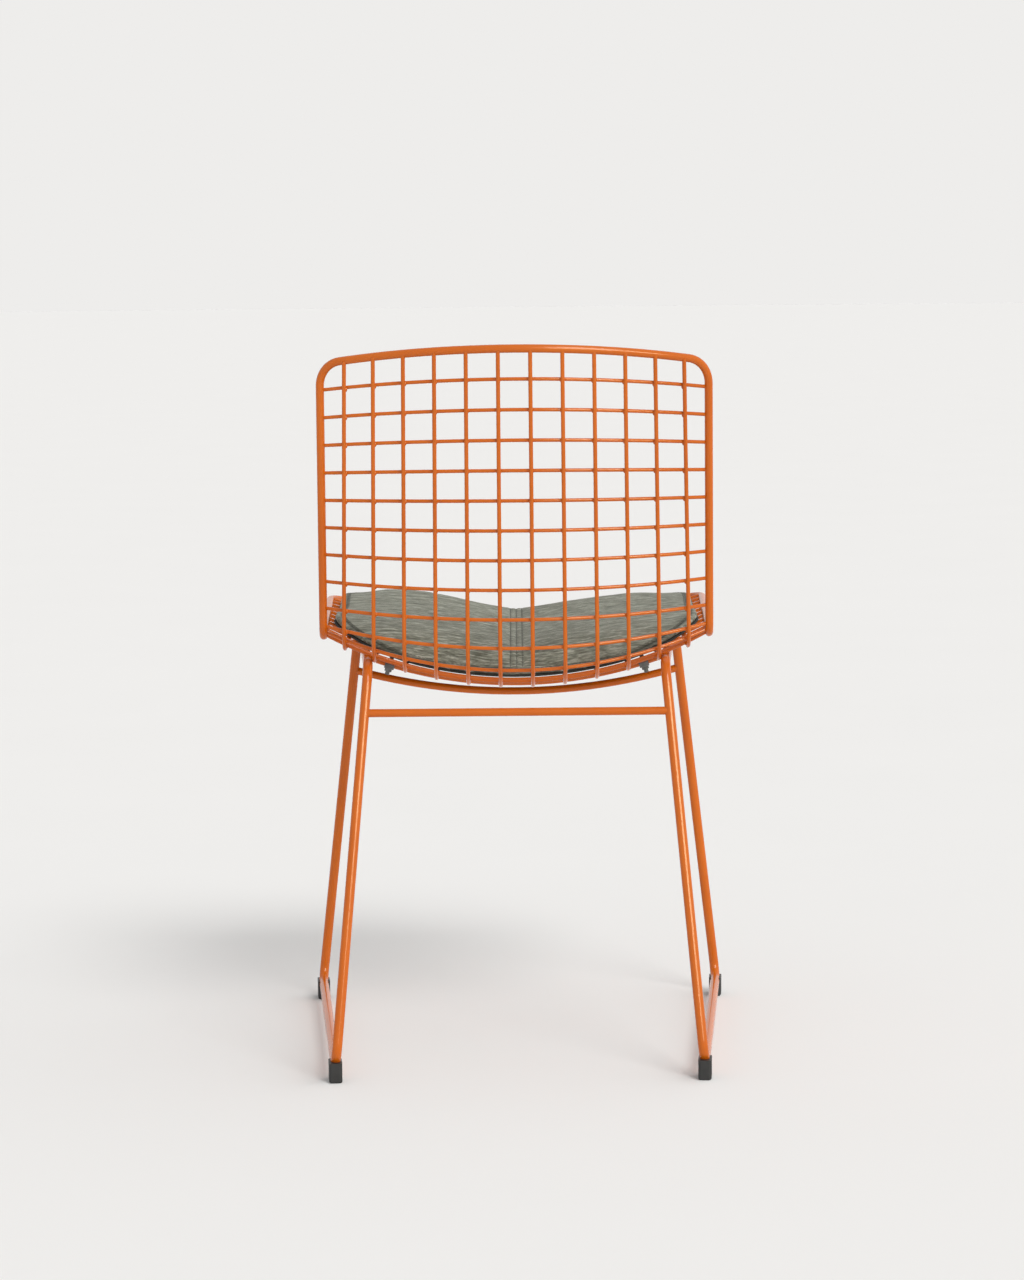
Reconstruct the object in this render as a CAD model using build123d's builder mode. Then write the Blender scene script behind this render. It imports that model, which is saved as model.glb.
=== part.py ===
# Wire dining chair: a bent wire bucket on a sled base of round rod, with a loose seat pad.
# The chair faces -Y, the origin is on the floor under the middle of the chair, and the
# sitter's left is +X.
import os
from math import asin, atan2, cos, pi, radians, sin, sqrt, tan

from build123d import *

os.makedirs("parts", exist_ok=True)

# Overall reach of the chair
overall_depth = 541.0

# Rod and wire diameters
frame_rod_diameter = 11.0
cross_bar_diameter = 9.0
rim_diameter = 9.0
long_wire_diameter = 4.5
cross_wire_diameter = 4.0
weld_sink = 0.1

# Centre profile of the bucket, in the YZ plane
back_recline = radians(12.0)
seat_rise = radians(4.0)
seat_corner_height = 414.7
back_length = 389.8
seat_length = 446.4
bend_radius = 75.0

# Cross-section of the bucket and the outline of its rim
section_radius = 445.0
front_section_radius = 700.0
back_half_width = 215.2
top_half_width = 210.8
front_half_width = 226.3
top_arch = 28.0
front_bow = 13.0
top_corner_radius = 31.5
front_corner_radius = 45.0

# Wire grid
long_wires_per_side = 6
edge_wire_gap = 27.7
top_wire_spread = 0.958
cross_wire_count = 23

# Sled base
runner_height = 19.5
rear_foot_half_width = 200.8
front_foot_y = -190.0
rear_top_y = 149.5
front_top_y = -150.5
foot_bend_radius = 18.0
top_bend_radius = 30.0
rear_stretcher_height = 392.5
bow_end_height = 403.0
bow_sag = 27.0

# Ends of the top rails, in pitches of the long wires from the middle of the seat
rear_rail_place = 4.6
front_rail_place = 5.24

# Clip-on glides
glide_length = 28.0
glide_width = 14.5
glide_wrap = 2.5
glide_corner = 3.0

# Seat clamps
plate_thickness = 2.5
hook_thickness = 2.0
hook_width = 11.0
plate_width = 13.0
plate_overhang = 5.0
bolt_diameter = 5.0
bolt_clearance = 0.25
bolt_head_diameter = 9.5
bolt_tail = 4.0
bolt_bar_gap = 0.8
nut_width = 8.0
nut_height = 4.0
rear_clamp_setback = 60.0
front_clamp_setback = 196.0

# Seat pad
pad_clearance = 0.3
pad_half_width = 213.0
pad_rear_corner = 105.0
pad_front_corner = 80.0
pad_side_height = 14.0
pad_crown = 33.0
pad_seam_depth = 4.0
pad_side_bulge = 3.0
pad_waist = 2.5
pad_end_swell = 0.4
pad_front_gap = 8.0
pad_rear_gap = 6.0
pad_sheet_thickness = 3.0

# Radii and levels that follow from the sizes above. A depth is measured from the bucket
# surface, outward to the positive side.
frame_radius = frame_rod_diameter / 2
bar_radius = cross_bar_diameter / 2
rim_radius = rim_diameter / 2
long_radius = long_wire_diameter / 2
cross_radius = cross_wire_diameter / 2
long_depth = long_radius - weld_sink / 2
cross_depth = weld_sink / 2 - cross_radius
cradle_depth = long_depth + long_radius + bar_radius - weld_sink

# Centre profile: up the back, forward along the seat, and the bend that joins them
up_back = Vector(0, sin(back_recline), cos(back_recline))
forward = Vector(0, -cos(seat_rise), sin(seat_rise))
back_inward = Vector(0, -cos(back_recline), sin(back_recline))
seat_inward = Vector(0, sin(seat_rise), cos(seat_rise))
bend_turn = pi / 2 - back_recline + seat_rise
bend_tangent = bend_radius * tan(bend_turn / 2)
seat_corner_y = rim_radius - overall_depth / 2 + seat_length * cos(seat_rise)
seat_corner = Vector(0, seat_corner_y, seat_corner_height)
bend_centre = seat_corner + up_back * bend_tangent + back_inward * bend_radius
bend_start = back_length - bend_tangent
bend_end = bend_start + bend_radius * bend_turn
profile_length = bend_end + seat_length - bend_tangent
cross_pitch = profile_length / (cross_wire_count + 1)
edge_arc = section_radius * asin(back_half_width / section_radius)
long_wire_pitch = (edge_arc - edge_wire_gap) / (long_wires_per_side - 0.5)


def profile(station):
    """Point and inward normal of the centre profile, from the top rim to the front rim."""
    if station <= bend_start:
        return seat_corner + up_back * (back_length - station), back_inward
    if station >= bend_end:
        return seat_corner + forward * (bend_tangent + station - bend_end), seat_inward
    heading = pi - back_recline - (station - bend_start) / bend_radius
    inward = Vector(0, cos(heading), sin(heading))
    return bend_centre - inward * bend_radius, inward


def arc_rise(radius, across, depth=0.0):
    """Rise of a round cross-section at a distance from its middle."""
    return radius - sqrt((radius + depth) ** 2 - across**2)


def seat_share(station):
    """How far along the straight seat a station lies, from the bend to the front."""
    return min(1.0, max(0.0, (station - bend_end) / (profile_length - bend_end)))


def basket_point(station, across, depth=0.0):
    """Point of the bucket, which opens out along the seat from the rear section to the front one."""
    base, inward = profile(station)
    rear_rise = arc_rise(section_radius, across, depth)
    opening = arc_rise(front_section_radius, across, depth) - rear_rise
    return base + Vector(across, 0, 0) + inward * (rear_rise + opening * seat_share(station))


def station_of(point):
    """Station along the centre profile of any point near the bucket."""
    offset = point - bend_centre
    if offset.dot(up_back) > 0:
        return bend_start - offset.dot(up_back)
    if offset.dot(forward) > 0:
        return bend_end + offset.dot(forward)
    heading = atan2(-offset.Z, -offset.Y)
    return bend_start + bend_radius * (pi - back_recline - heading)


def row_fan(station):
    """How much further along the profile a cross wire lies at the sides than in the middle."""
    if station < bend_start:
        return top_arch * (1 - station / bend_start)
    if station > bend_end:
        return -front_bow * (station - bend_end) / (profile_length - bend_end)
    return 0.0


def bowed_edge(middle, corner, corner_radius):
    """Control point and radius of the shallow arc that runs through the middle to the corner."""
    half_width = corner.X
    arc_half_width = half_width - corner_radius
    lean = Vector(0, corner.Y - middle.Y, corner.Z - middle.Z)
    low = 0.0
    high = pi / 3
    for _ in range(60):
        slope = (low + high) / 2
        reached = half_width * tan(slope) - arc_half_width * tan(slope / 2) / cos(slope)
        if reached < lean.length:
            low = slope
        else:
            high = slope
    radius = arc_half_width / sin(slope)
    return middle - lean.normalized() * (radius / cos(slope) - radius), radius


def meet_back(rise, near, far):
    """Point where a line along the seat, carried on to the rear, meets the back at a rise."""
    run = far - near
    gap = seat_corner + back_inward * rise - near
    return near + run * (gap.dot(back_inward) / run.dot(back_inward))


def mirrored(point):
    return Vector(-point.X, point.Y, point.Z)


def sweep_rod(line, radius):
    """Sweep a round section along a drawn line, in the current part."""
    path = line.wire()
    with BuildSketch(Plane(origin=path @ 0, z_dir=path % 0)) as section:
        Circle(radius)
    sweep(section.sketch, path=path)


def finish(piece, name):
    piece.part.label = name
    export_step(piece.part, f"parts/{name}.step")


# Rim of the bucket: one closed loop of bent rod
reference_rise = arc_rise(section_radius, back_half_width)
top_middle, _ = profile(0)
front_middle, _ = profile(profile_length)
top_corner = basket_point(top_arch, top_half_width)
front_corner = basket_point(profile_length - front_bow, front_half_width)
low_corner = meet_back(reference_rise, basket_point(bend_end, back_half_width), front_corner)
top_control, top_radius = bowed_edge(top_middle, top_corner, top_corner_radius)
front_control, front_radius = bowed_edge(front_middle, front_corner, front_corner_radius)
low_corner_radius = bend_radius - reference_rise

with BuildPart() as rim:
    with BuildLine() as rim_line:
        FilletPolyline(
            front_control,
            front_corner,
            low_corner,
            top_corner,
            top_control,
            mirrored(top_corner),
            mirrored(low_corner),
            mirrored(front_corner),
            radius=[
                front_radius,
                front_corner_radius,
                low_corner_radius,
                top_corner_radius,
                top_radius,
                top_corner_radius,
                low_corner_radius,
                front_corner_radius,
            ],
            close=True,
        )
    sweep_rod(rim_line, rim_radius)
finish(rim, "basket_rim")

# Points along the rim's centre line, on the sitter's left
rim_wire = rim_line.wire()
rim_samples = 900
rim_points = [rim_wire @ (i / rim_samples) for i in range(rim_samples)]
rim_half = sorted((p for p in rim_points if p.X >= 0), key=station_of)


def rim_point(measure, first, last):
    """Point of the rim's left half, between two stations, where the measure passes zero."""
    span = [p for p in rim_half if first <= station_of(p) <= last]
    for here, there in zip(span, span[1:]):
        at_here = measure(here)
        at_there = measure(there)
        if at_here * at_there <= 0:
            return here + (there - here) * (at_here / (at_here - at_there))
    raise ValueError("the rim does not reach this wire")


def wire_across(index):
    """Distance of a longitudinal wire from the middle plane."""
    angle = (index + 0.5) * long_wire_pitch / section_radius
    return (section_radius + long_depth) * sin(angle)


# Longitudinal wires: down the back, where they spread, round the bend and forward along the seat
for side_name, turned in (("left", Vector), ("right", mirrored)):
    for index in range(long_wires_per_side):
        across = wire_across(index)
        top_across = across * top_wire_spread
        rise = arc_rise(section_radius, across, long_depth)
        top_end = rim_point(lambda p: p.X - top_across, -rim_radius, bend_start)
        front_end = rim_point(lambda p: p.X - across, bend_end, profile_length + rim_radius)
        start = basket_point(station_of(top_end), top_across, long_depth)
        end = basket_point(station_of(front_end), across, long_depth)
        bend = meet_back(rise, basket_point(bend_end, across, long_depth), end)
        with BuildPart() as long_wire:
            with BuildLine() as axis:
                FilletPolyline(turned(start), turned(bend), turned(end), radius=bend_radius - rise)
            sweep_rod(axis, long_radius)
            add(rim.part, mode=Mode.SUBTRACT)
        finish(long_wire, f"long_wire_{side_name}_{index + 1}")

# Cross wires: shallow arcs from side to side, welded on the inner face of the long wires
for row in range(1, cross_wire_count + 1):
    row_station = row * cross_pitch
    fan = row_fan(row_station)
    rim_end = rim_point(
        lambda p: station_of(p) - fan * arc_rise(section_radius, p.X) / reference_rise - row_station,
        top_arch,
        profile_length - front_bow / 2,
    )
    end_station = station_of(rim_end)
    lift = basket_point(end_station, rim_end.X, cross_depth) - basket_point(end_station, rim_end.X)
    end = rim_end + lift
    with BuildPart() as cross_wire:
        with BuildLine() as axis:
            ThreePointArc(end, basket_point(row_station, 0, cross_depth), mirrored(end))
        sweep_rod(axis, cross_radius)
        add(rim.part, mode=Mode.SUBTRACT)
    finish(cross_wire, f"cross_wire_{row:02d}")

# Top rails: they run under the seat between two long wires and carry the cross wires
rail_depth = frame_radius - weld_sink
rear_top_half_width = rear_rail_place * long_wire_pitch
front_top_half_width = front_rail_place * long_wire_pitch
rail_flare = (front_top_half_width - rear_top_half_width) / (front_top_y - rear_top_y)


def rail_half_width(y):
    return rear_top_half_width + rail_flare * (y - rear_top_y)


def rail_rest(station):
    """Point at which a rail meets the cross wires under the straight part of the seat."""
    point = profile(station)[0]
    for _ in range(5):
        point = basket_point(station, rail_half_width(point.Y), rail_depth)
    return point


rear_rest = rail_rest(bend_end)
front_rest = rail_rest(bend_end + (profile(bend_end)[0].Y - front_top_y) / cos(seat_rise))
rail_slope = (front_rest.Z - rear_rest.Z) / (front_rest.Y - rear_rest.Y)


def rail_height(y):
    return rear_rest.Z + rail_slope * (y - rear_rest.Y)


rear_top = Vector(rear_top_half_width, rear_top_y, rail_height(rear_top_y))
front_top = Vector(front_top_half_width, front_top_y, rail_height(front_top_y))
rear_foot = Vector(rear_foot_half_width, overall_depth / 2, runner_height)

# The front foot lies in the plane of the other three corners, so each side frame is flat
frame_normal = (front_top - rear_top).cross(rear_foot - rear_top)
front_foot_drop = Vector(0, front_foot_y - rear_foot.Y, 0).dot(frame_normal)
front_foot_x = rear_foot_half_width - front_foot_drop / frame_normal.X
front_foot = Vector(front_foot_x, front_foot_y, runner_height)


def at_height(top, foot, height):
    """Point of a leg's centre line at a height above the floor."""
    return foot + (top - foot) * ((height - foot.Z) / (top.Z - foot.Z))


# Side frames: each a closed loop of one rod, a leg at each end, a rail above, a runner below
side_frames = {}
for side_name, turned in (("left", Vector), ("right", mirrored)):
    with BuildPart() as side_frame:
        with BuildLine() as axis:
            FilletPolyline(
                turned(rear_top),
                turned(front_top),
                turned(front_foot),
                turned(rear_foot),
                radius=[top_bend_radius, top_bend_radius, foot_bend_radius, foot_bend_radius],
                close=True,
            )
        sweep_rod(axis, frame_radius)
    finish(side_frame, f"{side_name}_side_frame")
    side_frames[side_name] = side_frame.part

# Straight stretcher between the rear legs
stretcher_end = at_height(rear_top, rear_foot, rear_stretcher_height)
with BuildPart() as rear_stretcher:
    with BuildLine() as axis:
        Line(stretcher_end, mirrored(stretcher_end))
    sweep_rod(axis, bar_radius)
    for frame in side_frames.values():
        add(frame, mode=Mode.SUBTRACT)
finish(rear_stretcher, "rear_stretcher")

# Bowed stretcher between the front legs
bow_end = at_height(front_top, front_foot, bow_end_height)
bow_middle = Vector(0, bow_end.Y, bow_end.Z - bow_sag)
with BuildPart() as front_bow_stretcher:
    with BuildLine() as axis:
        ThreePointArc(bow_end, bow_middle, mirrored(bow_end))
    sweep_rod(axis, bar_radius)
    for frame in side_frames.values():
        add(frame, mode=Mode.SUBTRACT)
finish(front_bow_stretcher, "front_bow_stretcher")

# Clamp places: each bolt stands in a gap between two cross wires and two long wires
def clamp_station(setback):
    """Middle of the gap between two cross wires that is nearest to a setback from the bend."""
    gap = round((bend_end + setback) / cross_pitch - 0.5)
    return (gap + 0.5) * cross_pitch


rear_clamp_station = clamp_station(rear_clamp_setback)
front_clamp_station = clamp_station(front_clamp_setback)
bolt_radius = bolt_diameter / 2
rear_reach = bar_radius + bolt_radius + bolt_bar_gap
cradle_station = rear_clamp_station - rear_reach

# Cradle bar: follows the underside of the bucket from rail to rail
cradle_end = basket_point(cradle_station, rail_half_width(profile(cradle_station)[0].Y), cradle_depth)
with BuildPart() as cradle_bar:
    with BuildLine() as axis:
        ThreePointArc(
            cradle_end,
            basket_point(cradle_station, 0, cradle_depth),
            mirrored(cradle_end),
        )
    sweep_rod(axis, bar_radius)
    for frame in side_frames.values():
        add(frame, mode=Mode.SUBTRACT)
finish(cradle_bar, "rear_cradle_bar")

# Clip-on glides: blocks under the ends of the runners, hollowed by the rod they hold
runner = (front_foot - rear_foot).normalized()


def glide_plane(corner, back_from_corner):
    """Floor plane at the middle of a glide, with its x along the runner."""
    middle = corner + runner * back_from_corner
    return Plane(origin=(middle.X, middle.Y, 0), x_dir=(runner.X, runner.Y, 0), z_dir=(0, 0, 1))


rear_glide = glide_plane(rear_foot, glide_length / 2)
front_glide = glide_plane(front_foot, -glide_length / 2)
for end_name, place in (("rear", rear_glide), ("front", front_glide)):
    with BuildPart() as glide:
        with BuildSketch(place):
            RectangleRounded(glide_length, glide_width, glide_corner)
        extrude(amount=runner_height + glide_wrap)
        chamfer(glide.faces().sort_by(Axis.Z)[0].edges(), glide_corner / 2)
        add(side_frames["left"], mode=Mode.SUBTRACT)
    finish(glide, f"{end_name}_left_glide")
    with BuildPart() as other_glide:
        mirror(glide.part, about=Plane.YZ)
    finish(other_glide, f"{end_name}_right_glide")


# Clamp frames: x runs outward across two long wires, z into the bucket, the origin midway
# between the axes of the two wires
def clamp_plane(station, index):
    inner = basket_point(station, wire_across(index), long_depth)
    outer = basket_point(station, wire_across(index + 1), long_depth)
    ahead = basket_point(station + cross_pitch, wire_across(index), long_depth) - inner
    outward = outer - inner
    return Plane(origin=(inner + outer) * 0.5, x_dir=outward, z_dir=ahead.cross(outward))


plate_top = long_radius + plate_thickness
plate_length = long_wire_pitch + 2 * (long_radius + plate_overhang)
rear_clamp = clamp_plane(rear_clamp_station, long_wires_per_side - 3)
front_clamp = clamp_plane(front_clamp_station, long_wires_per_side - 2)

# Each clamp in its own frame, the bolt at the origin, x towards the bar that the hook holds
bar_point = basket_point(cradle_station, rear_clamp.origin.X, cradle_depth)
bar_local = rear_clamp.to_local_coords(bar_point)
rear_clamp_frame = Plane(
    origin=rear_clamp.origin,
    x_dir=rear_clamp.y_dir,
    z_dir=rear_clamp.z_dir,
)
rail_y = front_clamp.origin.Y
rail_point = Vector(rail_half_width(rail_y), rail_y, rail_height(rail_y))
rail_local = front_clamp.to_local_coords(rail_point)
front_reach = frame_radius + bolt_radius + bolt_bar_gap
front_clamp_frame = Plane(
    origin=front_clamp.from_local_coords(Vector(rail_local.X - front_reach, 0, 0)),
    x_dir=front_clamp.x_dir,
    z_dir=front_clamp.z_dir,
)
clamps = (
    (rear_clamp, rear_clamp_frame, bar_local.Y, bar_local.Z, bar_radius),
    (front_clamp, front_clamp_frame, front_reach, rail_local.Z, frame_radius),
)


def bolt_profile(clearance, tail):
    """Half section of a countersunk bolt, its head flush with the top of the plate."""
    head = bolt_head_diameter / 2 + clearance
    shank = bolt_radius + clearance
    return (
        (0, plate_top),
        (head, plate_top),
        (shank, plate_top - head + shank),
        (shank, tail),
        (0, tail),
    )


def upright(frame):
    """Plane through a clamp's bolt, with x towards the bar and y into the bucket."""
    return Plane(origin=frame.origin, x_dir=frame.x_dir, z_dir=-frame.y_dir)


# Upper plates: flat bars across two long wires, countersunk for the bolt
with BuildPart() as clamp_plates:
    for plane, frame, reach, bar_level, hook_radius in clamps:
        with BuildSketch(plane.offset(long_radius)):
            RectangleRounded(plate_length, plate_width, plate_width / 4)
        extrude(amount=plate_thickness)
        with BuildSketch(upright(frame)):
            Polygon(*bolt_profile(bolt_clearance, long_radius - plate_thickness), align=None)
        revolve(axis=Axis(frame.origin, frame.z_dir), mode=Mode.SUBTRACT)
    mirror(about=Plane.YZ)
finish(clamp_plates, "clamp_plates")

# Hooks: strips that pass under the bar and curl up on its far side
with BuildPart() as clamp_hooks:
    for plane, frame, reach, bar_level, hook_radius in clamps:
        strip_top = bar_level - hook_radius
        strip_end = nut_width / sqrt(3)
        outer_radius = hook_radius + hook_thickness
        with BuildSketch(upright(frame)):
            with Locations((reach, bar_level)):
                Circle(outer_radius)
                Circle(hook_radius, mode=Mode.SUBTRACT)
                Rectangle(outer_radius, outer_radius, align=(Align.MIN, Align.MAX), mode=Mode.INTERSECT)
            with Locations((-strip_end, strip_top)):
                Rectangle(reach + strip_end, hook_thickness, align=(Align.MIN, Align.MAX))
        extrude(amount=hook_width / 2, both=True)
        with Locations(frame):
            with Locations((0, 0, strip_top)):
                Cylinder(bolt_radius + bolt_clearance, 4 * hook_thickness, mode=Mode.SUBTRACT)
    mirror(about=Plane.YZ)
    for held in (cradle_bar.part, *side_frames.values()):
        add(held, mode=Mode.SUBTRACT)
finish(clamp_hooks, "clamp_hooks")

# Bolts and nuts
with BuildPart() as clamp_bolts:
    for plane, frame, reach, bar_level, hook_radius in clamps:
        nut_top = bar_level - hook_radius - hook_thickness
        with BuildSketch(upright(frame)):
            Polygon(*bolt_profile(0, nut_top - nut_height - bolt_tail), align=None)
        revolve(axis=Axis(frame.origin, frame.z_dir))
    mirror(about=Plane.YZ)
finish(clamp_bolts, "clamp_bolts")

with BuildPart() as clamp_nuts:
    for plane, frame, reach, bar_level, hook_radius in clamps:
        nut_top = bar_level - hook_radius - hook_thickness
        with BuildSketch(frame.offset(nut_top)):
            RegularPolygon(nut_width / 2, 6, major_radius=False)
            Circle(bolt_radius + bolt_clearance / 2, mode=Mode.SUBTRACT)
        extrude(amount=-nut_height)
    mirror(about=Plane.YZ)
finish(clamp_nuts, "clamp_nuts")

# Seat pad: sections across the seat, bent to the bucket, with a crown on each side of the
# sewn middle seam, thinner edges, and sides that draw in between the corners
pad_depth = cross_depth - cross_radius - pad_clearance
pad_rear = bend_end + pad_rear_gap
pad_front = profile_length - front_bow - rim_radius - pad_front_gap
pad_length = pad_front - pad_rear
corner_steps = (0, 0.08, 0.3, 0.62, 1)
pad_stations = [step * pad_rear_corner for step in corner_steps]
pad_stations += [pad_length - step * pad_front_corner for step in reversed(corner_steps)]


def pad_width(along):
    """Half width of the pad's outline: round corners and a slight waist between them."""
    side_share = (along - pad_rear_corner) / (pad_length - pad_rear_corner - pad_front_corner)
    if 0 <= side_share <= 1:
        return pad_half_width - pad_waist * sin(pi * side_share)
    corner = pad_rear_corner if side_share < 0 else pad_front_corner
    lead = corner - (along if side_share < 0 else pad_length - along)
    return pad_half_width - corner + sqrt(corner**2 - lead**2)


def pad_radius(station):
    """Radius of the seat's cross-section under the pad."""
    rear_rise = arc_rise(section_radius, pad_half_width)
    opening = arc_rise(front_section_radius, pad_half_width) - rear_rise
    rise = rear_rise + opening * seat_share(station)
    return (pad_half_width**2 + rise**2) / (2 * rise)


def pad_point(station, width, height):
    """Point of a pad section: a width along its underside and a height above it."""
    radius = pad_radius(station)
    angle = asin(width / radius)
    reach = radius + pad_depth - height
    return reach * sin(angle), radius - reach * cos(angle)


def section_plane(station):
    return Plane(origin=profile(station)[0], x_dir=(1, 0, 0), z_dir=forward)


def pad_section(along):
    """Closed outline of the pad across the seat, with room below for its curved underside."""
    station = pad_rear + along
    edge = pad_width(along)
    swell = 1 - (1 - pad_end_swell) * (2 * along / pad_length - 1) ** 8
    crown = pad_side_height + (pad_crown - pad_side_height) * swell
    seam = crown - pad_seam_depth * swell
    bulge = edge + pad_side_bulge
    top_edge = edge - pad_side_bulge
    under_left = pad_point(station, edge, -pad_sheet_thickness)
    under_right = pad_point(station, -edge, -pad_sheet_thickness)
    left = pad_point(station, top_edge, pad_side_height)
    right = pad_point(station, -top_edge, pad_side_height)
    middle = pad_point(station, 0, seam)
    ThreePointArc(under_right, pad_point(station, 0, -pad_sheet_thickness), under_left)
    ThreePointArc(under_left, pad_point(station, bulge, pad_side_height / 2), left)
    ThreePointArc(left, pad_point(station, top_edge / 2, crown), middle)
    ThreePointArc(middle, pad_point(station, -top_edge / 2, crown), right)
    ThreePointArc(right, pad_point(station, -bulge, pad_side_height / 2), under_right)


def pad_bed(height):
    """Room above the pad's underside at a height, ruled from the rear of the pad to its front."""
    bed_width = pad_half_width + pad_side_bulge + pad_front_gap
    with BuildPart() as bed:
        for station in (pad_rear - pad_clearance, pad_front + pad_clearance):
            with BuildSketch(section_plane(station)):
                with BuildLine():
                    left = pad_point(station, bed_width, height)
                    right = pad_point(station, -bed_width, height)
                    ThreePointArc(right, pad_point(station, 0, height), left)
                    Polyline(left, (left[0], section_radius), (right[0], section_radius), right)
                make_face()
        loft(ruled=True)
    return bed.part


underside_bed = pad_bed(0)
sheet_bed = pad_bed(pad_sheet_thickness)

with BuildPart() as pad_form:
    for along in pad_stations:
        with BuildSketch(section_plane(pad_rear + along)):
            with BuildLine():
                pad_section(along)
            make_face()
    loft()
    add(underside_bed, mode=Mode.INTERSECT)

with BuildPart() as seat_pad:
    add(pad_form.part)
    add(sheet_bed, mode=Mode.INTERSECT)
finish(seat_pad, "seat_pad")

with BuildPart() as pad_underlay:
    add(pad_form.part)
    add(sheet_bed, mode=Mode.SUBTRACT)
finish(pad_underlay, "seat_pad_underlay")
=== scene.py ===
from math import asin, cos, hypot, pi, radians, sin, sqrt, tan

import bmesh
import bpy
import numpy as np
from mathutils import Matrix, Quaternion, Vector, bvhtree, noise


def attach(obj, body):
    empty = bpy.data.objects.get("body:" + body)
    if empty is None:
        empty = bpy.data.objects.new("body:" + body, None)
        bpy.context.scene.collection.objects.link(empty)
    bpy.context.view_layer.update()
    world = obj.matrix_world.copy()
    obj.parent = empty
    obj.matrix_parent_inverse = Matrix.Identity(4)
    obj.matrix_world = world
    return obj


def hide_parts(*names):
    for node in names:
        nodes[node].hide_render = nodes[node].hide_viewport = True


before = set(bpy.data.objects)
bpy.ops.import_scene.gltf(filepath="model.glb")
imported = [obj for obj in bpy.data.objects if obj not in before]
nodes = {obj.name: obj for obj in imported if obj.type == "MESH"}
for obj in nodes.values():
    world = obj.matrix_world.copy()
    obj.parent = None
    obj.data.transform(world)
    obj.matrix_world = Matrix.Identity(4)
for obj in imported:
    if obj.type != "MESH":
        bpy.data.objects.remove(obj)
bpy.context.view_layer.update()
scene = bpy.context.scene

# Sizes of the bucket, in metres, as the solids have them
BACK_RECLINE = radians(12.0)
SEAT_RISE = radians(4.0)
SEAT_CORNER = Vector((0, 0.17931, 0.4147))
BACK_LENGTH = 0.3898
SEAT_LENGTH = 0.4464
BEND_RADIUS = 0.075
SECTION_RADIUS = 0.445
FRONT_SECTION_RADIUS = 0.700
BACK_HALF_WIDTH = 0.2152
TOP_ARCH = 0.028
FRONT_BOW = 0.013
RIM_RADIUS = 0.0045
CROSS_RADIUS = 0.002
EDGE_WIRE_GAP = 0.0277
TOP_WIRE_SPREAD = 0.958
LONG_PER_SIDE = 6
CROSS_COUNT = 23

UP_BACK = Vector((0, sin(BACK_RECLINE), cos(BACK_RECLINE)))
FORWARD = Vector((0, -cos(SEAT_RISE), sin(SEAT_RISE)))
BACK_INWARD = Vector((0, -cos(BACK_RECLINE), sin(BACK_RECLINE)))
SEAT_INWARD = Vector((0, sin(SEAT_RISE), cos(SEAT_RISE)))
BEND_TURN = pi / 2 - BACK_RECLINE + SEAT_RISE
BEND_TANGENT = BEND_RADIUS * tan(BEND_TURN / 2)
BEND_CENTRE = SEAT_CORNER + UP_BACK * BEND_TANGENT + BACK_INWARD * BEND_RADIUS
BEND_START = BACK_LENGTH - BEND_TANGENT
BEND_END = BEND_START + BEND_RADIUS * BEND_TURN
PROFILE_LENGTH = BEND_END + SEAT_LENGTH - BEND_TANGENT
CROSS_PITCH = PROFILE_LENGTH / (CROSS_COUNT + 1)
EDGE_ARC = SECTION_RADIUS * asin(BACK_HALF_WIDTH / SECTION_RADIUS)
LONG_PITCH = (EDGE_ARC - EDGE_WIRE_GAP) / (LONG_PER_SIDE - 0.5)


def arc_rise(radius, across):
    return radius - sqrt(radius**2 - across**2)


REFERENCE_RISE = arc_rise(SECTION_RADIUS, BACK_HALF_WIDTH)


def profile(station):
    """Point and inward normal of the bucket's middle line, from the top rim to the front rim."""
    if station <= BEND_START:
        return SEAT_CORNER + UP_BACK * (BACK_LENGTH - station), BACK_INWARD
    if station >= BEND_END:
        return SEAT_CORNER + FORWARD * (BEND_TANGENT + station - BEND_END), SEAT_INWARD
    heading = pi - BACK_RECLINE - (station - BEND_START) / BEND_RADIUS
    inward = Vector((0, cos(heading), sin(heading)))
    return BEND_CENTRE - inward * BEND_RADIUS, inward


def section_at(station):
    """Radius of the bucket's round cross-section, which opens out along the seat."""
    share = min(1.0, max(0.0, (station - BEND_END) / (PROFILE_LENGTH - BEND_END)))
    front_rise = arc_rise(FRONT_SECTION_RADIUS, BACK_HALF_WIDTH)
    rise = REFERENCE_RISE + (front_rise - REFERENCE_RISE) * share
    return (BACK_HALF_WIDTH**2 + rise**2) / (2 * rise)


def bucket_point(station, width, height=0.0):
    """Point at a height above the bucket's surface, at a width from its middle."""
    base, inward = profile(station)
    radius = section_at(station)
    angle = asin(width / radius)
    reach = radius - height
    return base + Vector((reach * sin(angle), 0, 0)) + inward * (radius - reach * cos(angle))


def bucket_normal(station, width):
    angle = asin(width / section_at(station))
    return profile(station)[1] * cos(angle) - Vector((sin(angle), 0, 0))


# Materials


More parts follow.
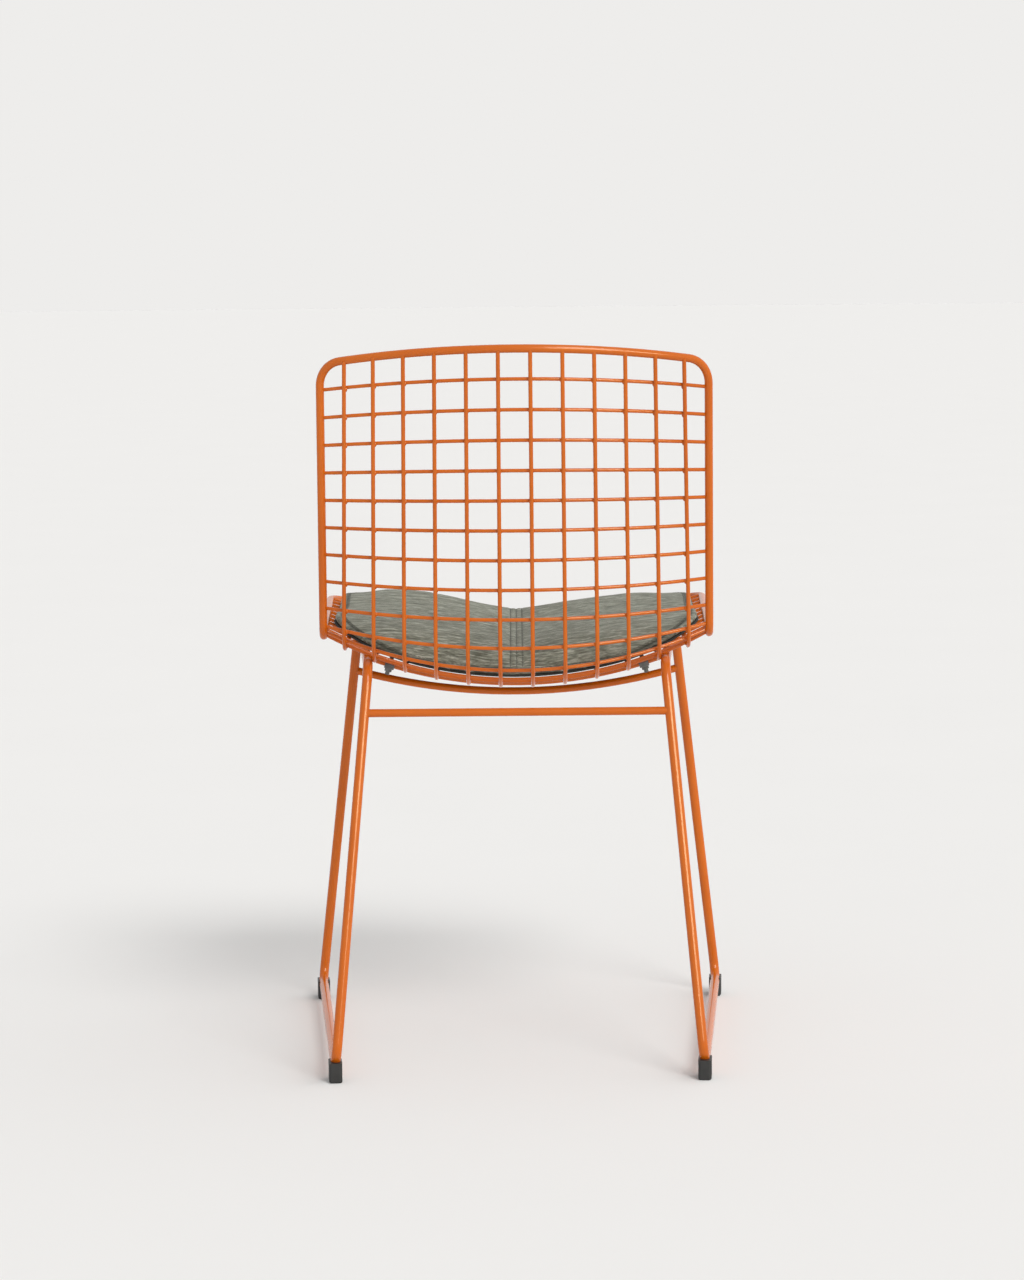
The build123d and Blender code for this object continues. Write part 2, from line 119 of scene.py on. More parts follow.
class Recipe:
    """A material's node tree, with short calls for the nodes that the finishes share."""

    def __init__(self, name):
        self.material = bpy.data.materials.new(name)
        self.material.use_nodes = True
        self.tree = self.material.node_tree
        self.shader = self.tree.nodes["Principled BSDF"]
        coordinates = self.tree.nodes.new("ShaderNodeTexCoord")
        self.place = coordinates.outputs["Object"]

    def link(self, output, target):
        self.tree.links.new(output, target)

    def stretched(self, scale, turn=(0, 0, 0)):
        node = self.tree.nodes.new("ShaderNodeMapping")
        node.inputs["Scale"].default_value = scale
        node.inputs["Rotation"].default_value = turn
        self.link(self.place, node.inputs["Vector"])
        return node.outputs["Vector"]

    def noise(self, scale, detail=2.0, roughness=0.5, distortion=0.0, at=None):
        node = self.tree.nodes.new("ShaderNodeTexNoise")
        node.inputs["Scale"].default_value = scale
        node.inputs["Detail"].default_value = detail
        node.inputs["Roughness"].default_value = roughness
        node.inputs["Distortion"].default_value = distortion
        self.link(at or self.place, node.inputs["Vector"])
        return node.outputs["Fac"]

    def cells(self, scale):
        node = self.tree.nodes.new("ShaderNodeTexVoronoi")
        node.inputs["Scale"].default_value = scale
        self.link(self.place, node.inputs["Vector"])
        return node.outputs["Distance"]

    def ramp(self, value, stops):
        node = self.tree.nodes.new("ShaderNodeValToRGB")
        elements = node.color_ramp.elements
        while len(elements) < len(stops):
            elements.new(0.5)
        for element, (position, colour) in zip(elements, stops):
            element.position = position
            element.color = (*colour, 1)
        self.link(value, node.inputs["Fac"])
        return node.outputs["Color"]

    def span(self, value, low, high, start=0.0, end=1.0):
        node = self.tree.nodes.new("ShaderNodeMapRange")
        node.inputs["From Min"].default_value = start
        node.inputs["From Max"].default_value = end
        node.inputs["To Min"].default_value = low
        node.inputs["To Max"].default_value = high
        self.link(value, node.inputs["Value"])
        return node.outputs["Result"]

    def math(self, operation, first, second):
        node = self.tree.nodes.new("ShaderNodeMath")
        node.operation = operation
        self.link(first, node.inputs[0])
        if isinstance(second, float):
            node.inputs[1].default_value = second
        else:
            self.link(second, node.inputs[1])
        return node.outputs["Value"]

    def tint(self, colour, shade, amount, blend="MULTIPLY"):
        """Mix a shade into a colour; inputs 6 and 7 and output 2 are the mix node's colours."""
        node = self.tree.nodes.new("ShaderNodeMix")
        node.data_type = "RGBA"
        node.blend_type = blend
        self.link(amount, node.inputs["Factor"])
        self.link(colour, node.inputs[6])
        node.inputs[7].default_value = (*shade, 1)
        return node.outputs[2]

    def attribute(self, name):
        node = self.tree.nodes.new("ShaderNodeAttribute")
        node.attribute_name = name
        return node.outputs["Fac"]

    def bump(self, height, strength, distance, below=None):
        node = self.tree.nodes.new("ShaderNodeBump")
        node.inputs["Strength"].default_value = strength
        node.inputs["Distance"].default_value = distance
        self.link(height, node.inputs["Height"])
        if below is not None:
            self.link(below, node.inputs["Normal"])
        return node.outputs["Normal"]

    def finish(self, colour, roughness, normal, **plain):
        self.link(colour, self.shader.inputs["Base Color"])
        self.link(roughness, self.shader.inputs["Roughness"])
        self.link(normal, self.shader.inputs["Normal"])
        for name, value in plain.items():
            self.shader.inputs[name.replace("_", " ")].default_value = value
        return self.material


def powder_coat():
    """Satin orange powder coat: faint orange peel, slightly deeper where the powder lies thicker."""
    paint = Recipe("powder_coat_orange")
    drift = paint.noise(9, detail=3)
    speck = paint.noise(2600, detail=1)
    colour = paint.ramp(drift, [(0.35, (0.54, 0.109, 0.003)), (0.65, (0.60, 0.130, 0.005))])
    colour = paint.tint(colour, (0.85, 0.78, 0.7), paint.span(speck, 0.0, 0.25, 0.6, 0.85))
    peel = paint.noise(900, detail=2, roughness=0.6)
    roughness = paint.span(paint.noise(60, detail=2), 0.13, 0.2)
    normal = paint.bump(peel, 0.12, 0.0002)
    return paint.finish(colour, roughness, normal, Specular_IOR_Level=0.36)


def moulded_black():
    """Black moulded plastic with a fine spark-eroded grain."""
    plastic = Recipe("moulded_black")
    grain = plastic.noise(1500, detail=3, roughness=0.6)
    wear = plastic.noise(70, detail=2)
    colour = plastic.ramp(wear, [(0.3, (0.011, 0.011, 0.012)), (0.75, (0.022, 0.022, 0.023))])
    roughness = plastic.span(grain, 0.38, 0.6)
    return plastic.finish(colour, roughness, plastic.bump(grain, 0.25, 0.0002))


def zinc_plate():
    """Zinc-plated steel with a fine drawn grain and a slightly dull film."""
    zinc = Recipe("zinc_plate")
    grain = zinc.noise(400, detail=4, roughness=0.6, at=zinc.stretched((0.15, 1, 1)))
    film = zinc.noise(90, detail=2)
    colour = zinc.ramp(film, [(0.3, (0.10, 0.10, 0.097)), (0.7, (0.17, 0.17, 0.166))])
    roughness = zinc.span(grain, 0.3, 0.5)
    return zinc.finish(colour, roughness, zinc.bump(grain, 0.2, 0.0001), Metallic=1.0)


def creased_cover():
    """Grey-green washed cover: fine creases across the seat, pores, painted shade in the crease hollows,
    stitched hollows and rear gusset, and painted light on the crease ridges.
    """
    cover = Recipe("creased_cover")
    across = cover.stretched((0.13, 1.0, 0.5))
    askew = cover.stretched((0.22, 1.0, 0.5), turn=(0, 0, radians(14)))
    long_crease = cover.noise(310, detail=5, roughness=0.62, distortion=0.7, at=across)
    short_crease = cover.noise(440, detail=4, roughness=0.6, distortion=0.8, at=askew)
    fine_crease = cover.noise(800, detail=3, roughness=0.6, distortion=0.5, at=across)
    crease = cover.math("MULTIPLY", long_crease, 0.6)
    crease = cover.math("ADD", crease, cover.math("MULTIPLY", short_crease, 0.4))
    pore = cover.cells(1700)
    blotch = cover.noise(14, detail=3)
    colour = cover.ramp(blotch, [(0.3, (0.176, 0.181, 0.138)), (0.7, (0.226, 0.233, 0.184))])
    # Painted shade in the crease hollows and painted light on the crease ridges
    colour = cover.tint(colour, (0.38, 0.38, 0.35), cover.span(crease, 0.9, 0.0, 0.39, 0.51))
    colour = cover.tint(colour, (0.47, 0.48, 0.40), cover.span(crease, 0.0, 0.9, 0.51, 0.64), blend="MIX")
    # Painted shade from the seam attribute: along the edge seam, the band's stitch lines and the rear gusset
    colour = cover.tint(colour, (0.18, 0.18, 0.16), cover.attribute("seam"))
    roughness = cover.span(fine_crease, 0.5, 0.72)
    normal = cover.bump(pore, 0.12, 0.0002)
    normal = cover.bump(fine_crease, 0.3, 0.0004, below=normal)
    normal = cover.bump(crease, 0.8, 0.0016, below=normal)
    soft = {"Specular_IOR_Level": 0.15, "Sheen_Weight": 0.05, "Sheen_Roughness": 0.5}
    return cover.finish(colour, roughness, normal, **soft)


def woven_underside():
    """Dark woven underside of the pad."""
    cloth = Recipe("woven_underside")
    warp = cloth.noise(1000, detail=1, at=cloth.stretched((3.0, 0.25, 0.25)))
    weft = cloth.noise(1000, detail=1, at=cloth.stretched((0.25, 3.0, 0.25)))
    weave = cloth.math("MULTIPLY", warp, weft)
    colour = cloth.ramp(weave, [(0.15, (0.012, 0.012, 0.011)), (0.4, (0.032, 0.032, 0.029))])
    roughness = cloth.span(weave, 0.95, 0.8, 0.1, 0.5)
    return cloth.finish(colour, roughness, cloth.bump(weave, 0.5, 0.0006))


def stitch_thread():
    """Waxed thread in a darker shade of the cover."""
    thread = Recipe("stitch_thread")
    twist = thread.noise(3000, detail=1, at=thread.stretched((1, 0.4, 1)))
    colour = thread.ramp(twist, [(0.3, (0.055, 0.057, 0.044)), (0.7, (0.105, 0.108, 0.085))])
    return thread.finish(colour, thread.span(twist, 0.5, 0.75), thread.bump(twist, 0.4, 0.0002))


ORANGE = powder_coat()
BLACK = moulded_black()
ZINC = zinc_plate()
COVER = creased_cover()
UNDERSIDE = woven_underside()
THREAD = stitch_thread()


def dress(obj, material):
    obj.data.materials.clear()
    obj.data.materials.append(material)


for name, node in nodes.items():
    if name.startswith("clamp_"):
        dress(node, ZINC)
    elif name.endswith("_glide"):
        dress(node, BLACK)
    else:
        dress(node, ORANGE)


def new_piece(name, mesh, material, body):
    piece = bpy.data.objects.new(name, mesh)
    scene.collection.objects.link(piece)
    dress(piece, material)
    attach(piece, body)
    return piece


def smooth(mesh):
    mesh.polygons.foreach_set("use_smooth", [True] * len(mesh.polygons))


def stamped(name, template, places):
    """Mesh with a copy of the template at each of the places."""
    corners = np.array([[*v.co, 1.0] for v in template.verts])
    faces = np.array([[v.index for v in face.verts] for face in template.faces])
    points = np.concatenate([corners @ np.array(place).T for place in places])
    loops = np.concatenate([faces + len(corners) * copy for copy in range(len(places))])
    template.free()
    mesh = bpy.data.meshes.new(name)
    mesh.from_pydata(points[:, :3].tolist(), [], loops.tolist())
    smooth(mesh)
    return mesh


# Weld nuggets where the wires cross
NUGGET_SIZE = (0.0033, 0.0033, 0.0014)


def row_station(row, width):
    """Station of a cross wire at a width: the rows fan out towards the top and the front."""
    middle = row * CROSS_PITCH
    fan = 0.0
    if middle < BEND_START:
        fan = TOP_ARCH * (1 - middle / BEND_START)
    elif middle > BEND_END:
        fan = -FRONT_BOW * (middle - BEND_END) / (PROFILE_LENGTH - BEND_END)
    return middle + fan * arc_rise(SECTION_RADIUS, width) / REFERENCE_RISE


def weld_nuggets():
    places = []
    for row in range(1, CROSS_COUNT + 1):
        for place in range(-LONG_PER_SIDE, LONG_PER_SIDE):
            width = SECTION_RADIUS * sin((place + 0.5) * LONG_PITCH / SECTION_RADIUS)
            station = row_station(row, width)
            width *= 1 - (1 - TOP_WIRE_SPREAD) * max(0.0, 1 - station / BACK_LENGTH)
            normal = bucket_normal(station, width)
            along = (bucket_point(station + 0.001, width) - bucket_point(station, width)).normalized()
            turn = Matrix((along.cross(normal), along, normal)).transposed().to_4x4()
            spread = Matrix.Diagonal((*NUGGET_SIZE, 1))
            places.append(Matrix.Translation(bucket_point(station, width)) @ turn @ spread)
    nugget = bmesh.new()
    bmesh.ops.create_icosphere(nugget, subdivisions=2, radius=1)
    mesh = stamped("wire_welds", nugget, places)
    return new_piece("wire_welds", mesh, ORANGE, "chair")


weld_nuggets()

# Seat pad, as the solids have it: it lies on the cross wires between the bend and the front rim
WIRE_GAP = 0.00025
PAD_LIFT = 2 * CROSS_RADIUS + WIRE_GAP
PAD_HALF_WIDTH = 0.2142
PAD_REAR_CORNER = 0.105
PAD_FRONT_CORNER = 0.080
PAD_SIDE = 0.014
PAD_CROWN = 0.033
PAD_VALLEY = 0.004
PAD_WAIST = 0.0025
PAD_END_FALL = 0.6
PAD_END_POWER = 8
PAD_REAR_GAP = 0.006
PAD_FRONT_GAP = 0.008
PAD_REAR = BEND_END + PAD_REAR_GAP
PAD_FRONT = PROFILE_LENGTH - FRONT_BOW - RIM_RADIUS - PAD_FRONT_GAP
PAD_LENGTH = PAD_FRONT - PAD_REAR
BACKING_HEIGHT = 0.0030

# Filling: more of it in the front corners, and most in the left one
LEFT_FULLNESS = 0.48
RIGHT_FULLNESS = 0.14
FULLNESS_REACH = 0.17
UNSTUFFED = 0.94
VOXEL_SIZE = 0.0035
CLOTH_STEPS = 20
SWELL_CAP = 0.006

# Sewing: the top panel ends in a seam inside the outline, and a band runs down the middle
SEAM_INSET = 0.0065
SEAM_HEIGHT = 0.0120
REAR_SEAM_DROP = 0.0035
REAR_TUCK = 0.0048
REAR_REACH = 0.1
BAND_HALF_WIDTH = 0.007
BAND_LINES = (-BAND_HALF_WIDTH, 0.0, BAND_HALF_WIDTH)
BAND_MIN_HEIGHT = 0.014
PANEL_SLOPE = 0.042
STITCH_LENGTH = 0.0034
STITCH_PITCH = 0.0048
STITCH_STEP = 0.001
STITCH_RADIUS = 0.00042

# Rings of the pad's mesh: the gusset's insets and shares of the seam's height, and the panel's insets
# from the outline and shrinks towards the middle
GUSSET_RINGS = ((0.0040, 0.27), (0.0012, 0.37), (0.0, 0.58), (0.0018, 0.85))
PANEL_INSETS = (0.010, 0.015, 0.022, 0.032, 0.045, 0.060)
PANEL_SHRINKS = (0.85, 0.7, 0.55, 0.4, 0.25, 0.1)
RING_STEP = 0.004
CORNER_SHARE = 0.91
RING_COUNT = round(2 * (2 * PAD_HALF_WIDTH + PAD_LENGTH) * CORNER_SHARE / RING_STEP)
CORNER_STEPS = 24


def fullness(across, along):
    """Share by which the filling raises the pad, growing towards its front corners."""
    side = min(1.0, abs(across) / FULLNESS_REACH)
    most = LEFT_FULLNESS if across > 0 else RIGHT_FULLNESS
    return 1 + most * side**2 * (3 - 2 * side) * min(1.0, max(0.0, along / PAD_LENGTH))


def pad_point(across, along, height):
    """Point of the pad: across and along in its flat outline, height above the wires."""
    return bucket_point(PAD_REAR + along, across, PAD_LIFT + height * fullness(across, along))


def corner_at(along):
    return PAD_FRONT_CORNER if along > PAD_LENGTH / 2 else PAD_REAR_CORNER


def waist_at(along):
    """How far the pad's side draws in between the corners."""
    return PAD_WAIST * (1 - abs(2 * along / PAD_LENGTH - 1)) ** 2


def outline(inset, count):
    """Evenly spaced points (across, along) of the pad's rounded outline, drawn in by an inset."""
    ring = []
    for quarter in range(4):
        corner = PAD_FRONT_CORNER if quarter < 2 else PAD_REAR_CORNER
        x = (1 if quarter in (0, 3) else -1) * (PAD_HALF_WIDTH - corner)
        y = PAD_LENGTH - corner if quarter < 2 else corner
        radius = corner - inset
        for step in range(CORNER_STEPS + 1):
            turn = pi / 2 * (quarter + step / CORNER_STEPS)
            ring.append(Vector((x + radius * cos(turn), y + radius * sin(turn))))
    spans = [(ring[(i + 1) % len(ring)] - p).length for i, p in enumerate(ring)]
    total = sum(spans)
    even = []
    index = 0
    passed = 0.0
    for i in range(count):
        position = total * i / count
        while passed + spans[index] < position:
            passed += spans[index]
            index += 1
        there = ring[index].lerp(ring[(index + 1) % len(ring)], (position - passed) / spans[index])
        if abs(there.x) > PAD_HALF_WIDTH / 2:
            there.x -= (1 if there.x > 0 else -1) * waist_at(there.y)
        even.append(there)
    return even


def tuck_at(along):
    """How far the seam moves out towards the rear edge, where the panel rolls over it."""
    return max(0.0, 1 - max(along, 0.0) / REAR_REACH) ** 2


def tucked(points):
    return [Vector((p.x, p.y - REAR_TUCK * tuck_at(p.y))) for p in points]


def seam_height(along):
    return SEAM_HEIGHT - REAR_SEAM_DROP * tuck_at(along)


def crown(across, along):
    """Height of the pad's top: a crown on each side of the sewn band, lower towards the ends."""
    swell = 1 - PAD_END_FALL * (2 * along / PAD_LENGTH - 1) ** PAD_END_POWER
    high = PAD_SIDE + (PAD_CROWN - PAD_SIDE) * swell
    valley = high - PAD_VALLEY * swell
    share = min(1.0, abs(across) / (PAD_HALF_WIDTH - SEAM_INSET))
    climb = 4 * (high - valley) - (PAD_SIDE - valley)
    fall = 2 * (PAD_SIDE - valley) - 4 * (high - valley)
    return valley + climb * share + fall * share**2


def add_ring(mesh, points):
    return [mesh.verts.new(p) for p in points]


def bridge(mesh, below, above):
    for i in range(len(below)):
        j = (i + 1) % len(below)
        mesh.faces.new((below[i], below[j], above[j], above[i]))


def shrink_to_middle(points, share):
    middle = Vector((0, PAD_LENGTH / 2))
    return [middle + (p - middle) * share for p in points]


def panel_rings():
    """Outlines of the top panel from its seam inwards, each with its distance from the seam."""
    rings = [(tucked(outline(inset, RING_COUNT)), inset - SEAM_INSET) for inset in PANEL_INSETS]
    innermost, depth = rings[-1]
    rings += [(shrink_to_middle(innermost, share), depth) for share in PANEL_SHRINKS]
    return rings


def pad_body():
    """Closed mesh of the unstuffed pad, a little flatter than the stuffed one."""
    body = bmesh.new()
    floor_height = BACKING_HEIGHT + 0.0001
    middle = PAD_LENGTH / 2
    rings = []
    for inset, share in GUSSET_RINGS:
        places = outline(inset, RING_COUNT)
        rings.append(add_ring(body, [pad_point(*p, share * seam_height(p.y)) for p in places]))
    seam = tucked(outline(SEAM_INSET, RING_COUNT))
    rings.append(add_ring(body, [pad_point(*p, seam_height(p.y)) for p in seam]))
    for points, depth in panel_rings():
        slope = 1 - (1 - min(depth / PANEL_SLOPE, 1)) ** 2
        lift = []
        for p in points:
            low = seam_height(p.y)
            lift.append(pad_point(*p, low + (crown(*p) * UNSTUFFED - low) * slope))
        rings.append(add_ring(body, lift))
    for below, above in zip(rings, rings[1:]):
        bridge(body, below, above)
    top = body.verts.new(pad_point(0, middle, crown(0, middle) * UNSTUFFED))
    for i in range(RING_COUNT):
        body.faces.new((rings[-1][i], rings[-1][(i + 1) % RING_COUNT], top))
    under = [rings[0]]
    for points, _ in panel_rings():
        under.append(add_ring(body, [pad_point(*p, floor_height) for p in points]))
    for outer, inner in zip(under, under[1:]):
        bridge(body, inner, outer)
    bottom = body.verts.new(pad_point(0, middle, floor_height))
    for i in range(RING_COUNT):
        body.faces.new((under[-1][(i + 1) % RING_COUNT], under[-1][i], bottom))
    mesh = bpy.data.meshes.new("pad_body")
    body.to_mesh(mesh)
    body.free()
    return mesh


def flat_place(point):
    """Across, along and height of a point, the other way round from pad_point."""
    offset = point - SEAT_CORNER
    along = offset.dot(FORWARD) - BEND_TANGENT + BEND_END - PAD_REAR
    radius = section_at(PAD_REAR + along)
    reach = hypot(point.x, radius - offset.dot(SEAT_INWARD))
    across = radius * point.x / reach
    return across, along, (radius - reach - PAD_LIFT) / fullness(across, along)


def edge_distance(across, along):
    """Distance inwards from the pad's outline, in its flat shape."""
    corner = corner_at(along)
    x = abs(across) + waist_at(along) - (PAD_HALF_WIDTH - corner)
    y = abs(along - PAD_LENGTH / 2) - (PAD_LENGTH / 2 - corner)
    if x > 0 and y > 0:
        return corner - hypot(x, y)
    return corner - max(x, y)


def seam_distance(across, along):
    """Distance inwards from the edge seam, in the pad's flat shape."""
    return edge_distance(across, along + REAR_TUCK * tuck_at(along)) - SEAM_INSET


def run_modifiers(piece):
    """The piece's mesh with its modifiers applied, as a new mesh."""
    depsgraph = bpy.context.evaluated_depsgraph_get()
    return bpy.data.meshes.new_from_object(piece.evaluated_get(depsgraph))


def replace_mesh(piece, mesh):
    old = piece.data
    piece.modifiers.clear()
    piece.data = mesh
    bpy.data.meshes.remove(old)


def even_mesh(piece):
    """Remesh the pad to even faces."""
    remesh = piece.modifiers.new("remesh", "REMESH")
    remesh.mode = "VOXEL"
    remesh.voxel_size = VOXEL_SIZE
    replace_mesh(piece, run_modifiers(piece))


def stuff(piece):
    """Hold the pad at its sewing and its underside, and let cloth pressure fill it."""
    held = piece.vertex_groups.new(name="sewn")
    start = np.empty(len(piece.data.vertices) * 3)
    piece.data.vertices.foreach_get("co", start)
    for vertex in piece.data.vertices:
        across, along, height = flat_place(vertex.co)
        low = seam_height(along)
        on_seam = abs(seam_distance(across, along)) < 0.0028 and height > low - 0.004
        on_band = abs(across) < BAND_HALF_WIDTH + 0.002 and height > BAND_MIN_HEIGHT
        if height < 0.0045 or on_seam or on_band:
            held.add([vertex.index], 1.0, "REPLACE")
    cloth = piece.modifiers.new("cloth", "CLOTH")
    cloth.settings.quality = 6
    cloth.settings.mass = 0.25
    cloth.settings.tension_stiffness = 12
    cloth.settings.compression_stiffness = 8
    cloth.settings.shear_stiffness = 4
    cloth.settings.bending_stiffness = 0.4
    cloth.settings.use_pressure = True
    cloth.settings.uniform_pressure_force = 4
    cloth.settings.vertex_group_mass = "sewn"
    cloth.settings.effector_weights.gravity = 0
    cloth.collision_settings.use_collision = False
    for step in range(1, CLOTH_STEPS + 1):
        scene.frame_set(step)
    filled = run_modifiers(piece)
    scene.frame_set(1)
    end = np.empty(len(filled.vertices) * 3)
    filled.vertices.foreach_get("co", end)
    start = start.reshape(-1, 3)
    shift = end.reshape(-1, 3) - start
    length = np.linalg.norm(shift, axis=1, keepdims=True)
    shift *= SWELL_CAP * np.tanh(length / SWELL_CAP) / np.maximum(length, 1e-9)
    filled.vertices.foreach_set("co", (start + shift).ravel())
    replace_mesh(piece, filled)
    piece.vertex_groups.clear()


def sew(piece):
    """Subdivide the stuffed pad, then draw in its seams and crease its panels, and store painted shade for
    the seams, the band's lines and the rear gusset in the seam attribute.
    """
    subdivide = piece.modifiers.new("subdivide", "SUBSURF")
    subdivide.levels = 1
    subdivide.render_levels = 1
    replace_mesh(piece, run_modifiers(piece))
    mesh = piece.data
    # The seam attribute holds painted shade, by which the cover's colour is darkened
    seam = mesh.attributes.new("seam", "FLOAT", "POINT")
    depth = []
    normals = [v.normal.copy() for v in mesh.vertices]
    for vertex, normal in zip(mesh.vertices, normals):
        across, along, height = flat_place(vertex.co)
        inward = seam_distance(across, along)
        dent = 0.0
        shade = 0.0
        # Painted shade in the edge seam's hollow, and below the seam on the rear gusset where the panel
        # rolls over it
        if height > seam_height(along) - 0.003:
            dent = 0.0016 * max(0.0, 1 - abs(inward) / 0.004) ** 2
            shade = max(0.0, 1 - abs(inward) / 0.0034)
        elif inward < 0:
            shade = 0.75 * tuck_at(along)
        if height > BAND_MIN_HEIGHT and inward > 0:
            for line in BAND_LINES:
                gap = abs(across - line)
                dent = max(dent, 0.0010 * max(0.0, 1 - gap / 0.003) ** 2)
                # Painted shade in the dents along the band's stitch lines
                shade = max(shade, 0.35 * max(0.0, 1 - gap / 0.002))
        free = 0.0
        if height > 0.008:
            free = min(1.0, max(0.0, abs(inward) - 0.002) / 0.012)
            free *= min(1.0, max(0.0, abs(across) - BAND_HALF_WIDTH - 0.002) / 0.015)
        place = Vector((across * 24, along * 105, height * 40))
        wave = noise.fractal(place, 0.9, 2.1, 3)
        vertex.co -= normal * (dent + free * 0.00055 * wave)
        depth.append(shade)
    seam.data.foreach_set("value", depth)
    smooth(mesh)


def make_pad():
    pad = bpy.data.objects.new("pad_cushion", pad_body())
    scene.collection.objects.link(pad)
    even_mesh(pad)
    stuff(pad)
    sew(pad)
    dress(pad, COVER)
    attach(pad, "seat_pad")
    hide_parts("seat_pad")
    return pad


def make_underside():
    """Backing sheet under the pad, with a turned hem."""
    sheet = bmesh.new()
    hem = ((0.0040, 0.00015), (0.0022, 0.0005), (0.0015, 0.0015), (0.0022, 0.0026), (0.0040, BACKING_HEIGHT))
    rings = []
    for inset, height in hem:
        rings.append(add_ring(sheet, [pad_point(*p, height) for p in outline(inset, RING_COUNT)]))
    for below, above in zip(rings, rings[1:]):
        bridge(sheet, below, above)
    for edge, height, upward in ((rings[0], 0.0001, False), (rings[-1], BACKING_HEIGHT, True)):
        outer = edge
        for points, _ in panel_rings():
            inner = add_ring(sheet, [pad_point(*p, height) for p in points])
            if upward:
                bridge(sheet, outer, inner)
            else:
                bridge(sheet, inner, outer)
            outer = inner
        middle = sheet.verts.new(pad_point(0, PAD_LENGTH / 2, height))
        for i in range(RING_COUNT):
            pair = (outer[i], outer[(i + 1) % RING_COUNT])
            sheet.faces.new((*pair, middle) if upward else (pair[1], pair[0], middle))
    mesh = bpy.data.meshes.new("pad_backing")
    sheet.to_mesh(mesh)
    sheet.free()
    smooth(mesh)
    backing = new_piece("pad_backing", mesh, UNDERSIDE, "seat_pad")
    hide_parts("seat_pad_underlay")
    return backing


def stitch_lines(pad):
    """Rows of stitches: three down the middle band and one round the edge seam."""
    tree = bvhtree.BVHTree.FromPolygons(
        [v.co.copy() for v in pad.data.vertices], [tuple(p.vertices) for p in pad.data.polygons]
    )
    rows = []
    for line in BAND_LINES:
        count = round((PAD_LENGTH - 2 * SEAM_INSET) / STITCH_STEP)
        rows.append([Vector((line, SEAM_INSET + STITCH_STEP * i)) for i in range(count + 1)])
    seam = tucked(outline(SEAM_INSET + 0.0022, 4 * RING_COUNT))
    rows.append(seam + seam[:1])
    places = []
    for row in rows:
        points = []
        for place in row:
            normal = bucket_normal(PAD_REAR + place.y, place.x)
            hit = tree.ray_cast(pad_point(*place, 0.06), -normal)[0]
            if hit is not None:
                points.append((hit, normal))
        travelled = 0.0
        begin = None
        for (here, normal), (there, _) in zip(points, points[1:]):
            if travelled % STITCH_PITCH < STITCH_LENGTH:
                begin = begin or (here, normal)
            elif begin is not None:
                places.append(stitch_place(begin[0], here, begin[1]))
                begin = None
            travelled += (there - here).length
    thread = bmesh.new()
    bmesh.ops.create_icosphere(thread, subdivisions=2, radius=1)
    mesh = stamped("pad_stitches", thread, places)
    return new_piece("pad_stitches", mesh, THREAD, "seat_pad")


def stitch_place(start, end, normal):
    """Place of one stitch: a short thread that dips into the cover at both ends."""
    along = end - start
    side = normal.cross(along).normalized()
    axes = Matrix((along.normalized(), side, normal)).transposed().to_4x4()
    spread = Matrix.Diagonal((along.length / 2 + 0.0004, STITCH_RADIUS, STITCH_RADIUS, 1))
    return Matrix.Translation((start + end) / 2 + normal * 0.00012) @ axes @ spread


pad = make_pad()
make_underside()
stitch_lines(pad)

# Floor, world and light
PALE = (0.855, 0.846, 0.832)
FLOOR_RADIUS = 60
SKY_SLOPE = (-0.52, 0.0, -0.55)
SKY_LEVEL = 1.1
KEY_HEADING = Vector((0.24, -0.42, -0.42))
STRIP_PLACE = Vector((-1.83, 3.16, 1.85))
STRIP_AIM = Vector((0, 0.2, 0.2))
floor_mesh = bpy.data.meshes.new("floor")
ground = bmesh.new()
bmesh.ops.create_circle(ground, cap_ends=True, segments=64, radius=FLOOR_RADIUS)
ground.to_mesh(floor_mesh)
ground.free()
floor = bpy.data.objects.new("floor", floor_mesh)
scene.collection.objects.link(floor)
plaster = Recipe("studio_floor")
drift = plaster.noise(3, detail=3)
tone = plaster.ramp(drift, [(0.3, (0.858, 0.850, 0.836)), (0.7, (0.864, 0.856, 0.842))])
grain = plaster.noise(300, detail=2)
dress(floor, plaster.finish(tone, plaster.span(grain, 0.85, 0.95), plaster.bump(grain, 0.02, 0.0002)))
plaster.shader.inputs["Specular IOR Level"].default_value = 0.0

# The world lights the chair more from the camera's right and from low down; what the camera and
# reflections see of it is the pale backdrop
world = bpy.data.worlds.new("studio")
scene.world = world
world.use_nodes = True
sky = world.node_tree
heading = sky.nodes.new("ShaderNodeTexCoord")
toward = sky.nodes.new("ShaderNodeVectorMath")
toward.operation = "DOT_PRODUCT"
toward.inputs[1].default_value = SKY_SLOPE
sky.links.new(heading.outputs["Generated"], toward.inputs[0])
glow = sky.nodes.new("ShaderNodeMath")
glow.inputs[1].default_value = SKY_LEVEL
sky.links.new(toward.outputs["Value"], glow.inputs[0])
lit = sky.nodes["Background"]
lit.inputs["Color"].default_value = (1, 1, 1, 1)
sky.links.new(glow.outputs["Value"], lit.inputs["Strength"])
seen = sky.nodes.new("ShaderNodeBackground")
seen.inputs["Color"].default_value = (*PALE, 1)
rays = sky.nodes.new("ShaderNodeLightPath")
choice = sky.nodes.new("ShaderNodeMixShader")
shown = sky.nodes.new("ShaderNodeMath")
shown.operation = "MAXIMUM"
sky.links.new(rays.outputs["Is Camera Ray"], shown.inputs[0])
mirrored = sky.nodes.new("ShaderNodeMath")
mirrored.operation = "MAXIMUM"
sky.links.new(rays.outputs["Is Glossy Ray"], mirrored.inputs[0])
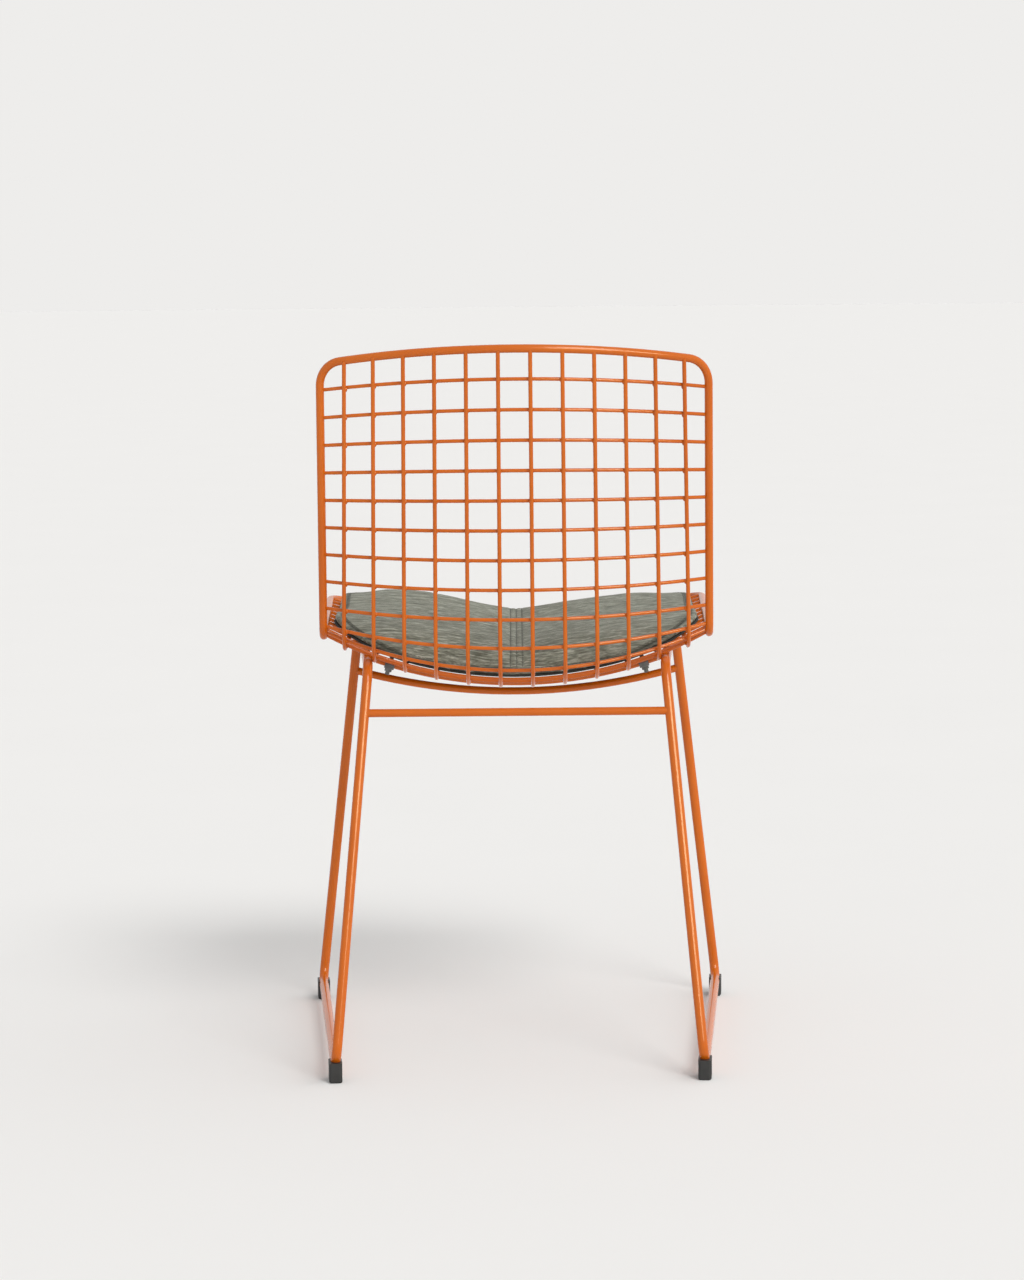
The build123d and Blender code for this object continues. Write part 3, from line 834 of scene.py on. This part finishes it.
sky.links.new(rays.outputs["Is Transmission Ray"], mirrored.inputs[1])
sky.links.new(mirrored.outputs["Value"], shown.inputs[1])
sky.links.new(shown.outputs["Value"], choice.inputs["Fac"])
sky.links.new(lit.outputs["Background"], choice.inputs[1])
sky.links.new(seen.outputs["Background"], choice.inputs[2])
sky.links.new(choice.outputs["Shader"], sky.nodes["World Output"].inputs["Surface"])

key = bpy.data.lights.new("key", "SUN")
key.energy = 1.3
key.angle = radians(24)
key.color = (1.0, 0.995, 0.985)
key_lamp = bpy.data.objects.new("key", key)
scene.collection.objects.link(key_lamp)
key_lamp.rotation_euler = KEY_HEADING.to_track_quat("-Z", "Y").to_euler()

# A softbox beside the camera that shows only as the highlight on the rods
strip = bpy.data.lights.new("strip_box", "AREA")
strip.shape = "RECTANGLE"
strip.size = 2.6
strip.size_y = 1.1
strip.energy = 115
strip.color = (1.0, 0.94, 0.6)
strip_lamp = bpy.data.objects.new("strip_box", strip)
scene.collection.objects.link(strip_lamp)
strip_lamp.location = STRIP_PLACE
strip_lamp.rotation_euler = (STRIP_AIM - STRIP_PLACE).to_track_quat("-Z", "Y").to_euler()
strip_lamp.visible_camera = False
strip_lamp.visible_diffuse = False

# Camera where the photograph was taken from
CAMERA_PLACE = Vector((0, 3.968, 0.892))
CAMERA_PITCH = 0.1098
CAMERA_YAW = 0.0013
CAMERA_ROLL = -0.009
SENSOR_HEIGHT = 36
LENS = 97.47
view = bpy.data.cameras.new("camera")
view.sensor_fit = "VERTICAL"
view.sensor_height = SENSOR_HEIGHT
view.lens = LENS
camera = bpy.data.objects.new("camera", view)
scene.collection.objects.link(camera)
camera.location = CAMERA_PLACE
reach = cos(CAMERA_PITCH)
gaze = Vector((sin(CAMERA_YAW) * reach, -cos(CAMERA_YAW) * reach, -sin(CAMERA_PITCH)))
level = gaze.to_track_quat("-Z", "Y")
camera.rotation_euler = (level @ Quaternion((0, 0, 1), CAMERA_ROLL)).to_euler()
scene.camera = camera
scene.view_settings.view_transform = "Standard"
